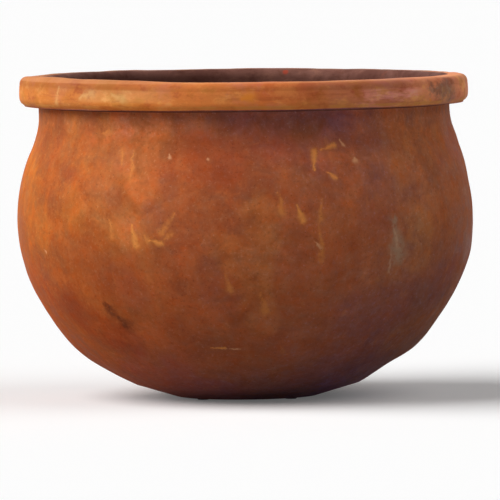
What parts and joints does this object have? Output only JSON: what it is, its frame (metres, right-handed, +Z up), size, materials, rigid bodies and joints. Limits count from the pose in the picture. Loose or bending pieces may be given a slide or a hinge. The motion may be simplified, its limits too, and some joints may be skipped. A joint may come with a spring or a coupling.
{
  "type": "bell planter",
  "caption": "Wide round-bellied floor planter with a drawn-in neck, heavy rolled rim, small flat base, push-in drain plug and lift-out drain screen.",
  "frame": {"origin": "on the ground, under the middle of the base, where the planter stands", "axes": "+Z up along the axis of the bowl, -Y towards the side seen in the picture"},
  "size_m": [0.71, 0.7098, 0.5],
  "materials": {
    "patina": "matte",
    "hoop_steel": "satin",
    "drain_plastic": "matte",
    "rubber": "matte"
  },
  "bodies": {
    "planter": {"bowl_shell": "patina", "rim_cap": "patina", "rim_closing_ring": "patina", "rim_hoop": "hoop_steel", "drain_bush": "drain_plastic", "drain_gasket": "rubber", "drain_nut": "drain_plastic", "foot_pad_1": "rubber", "foot_pad_2": "rubber", "foot_pad_3": "rubber", "foot_pad_4": "rubber"},
    "plug": {"drain_plug": "rubber"},
    "screen": {"drain_screen": "drain_plastic"}
  },
  "joints": [
    {"name": "plug_pull", "type": "slide", "parent": "planter", "child": "plug", "axis": [0, 0, -1], "range_m": [0, 0.04]},
    {"name": "screen_lift", "type": "slide", "parent": "planter", "child": "screen", "axis": [0, 0, 1], "range_m": [0, 0.48]}
  ]
}
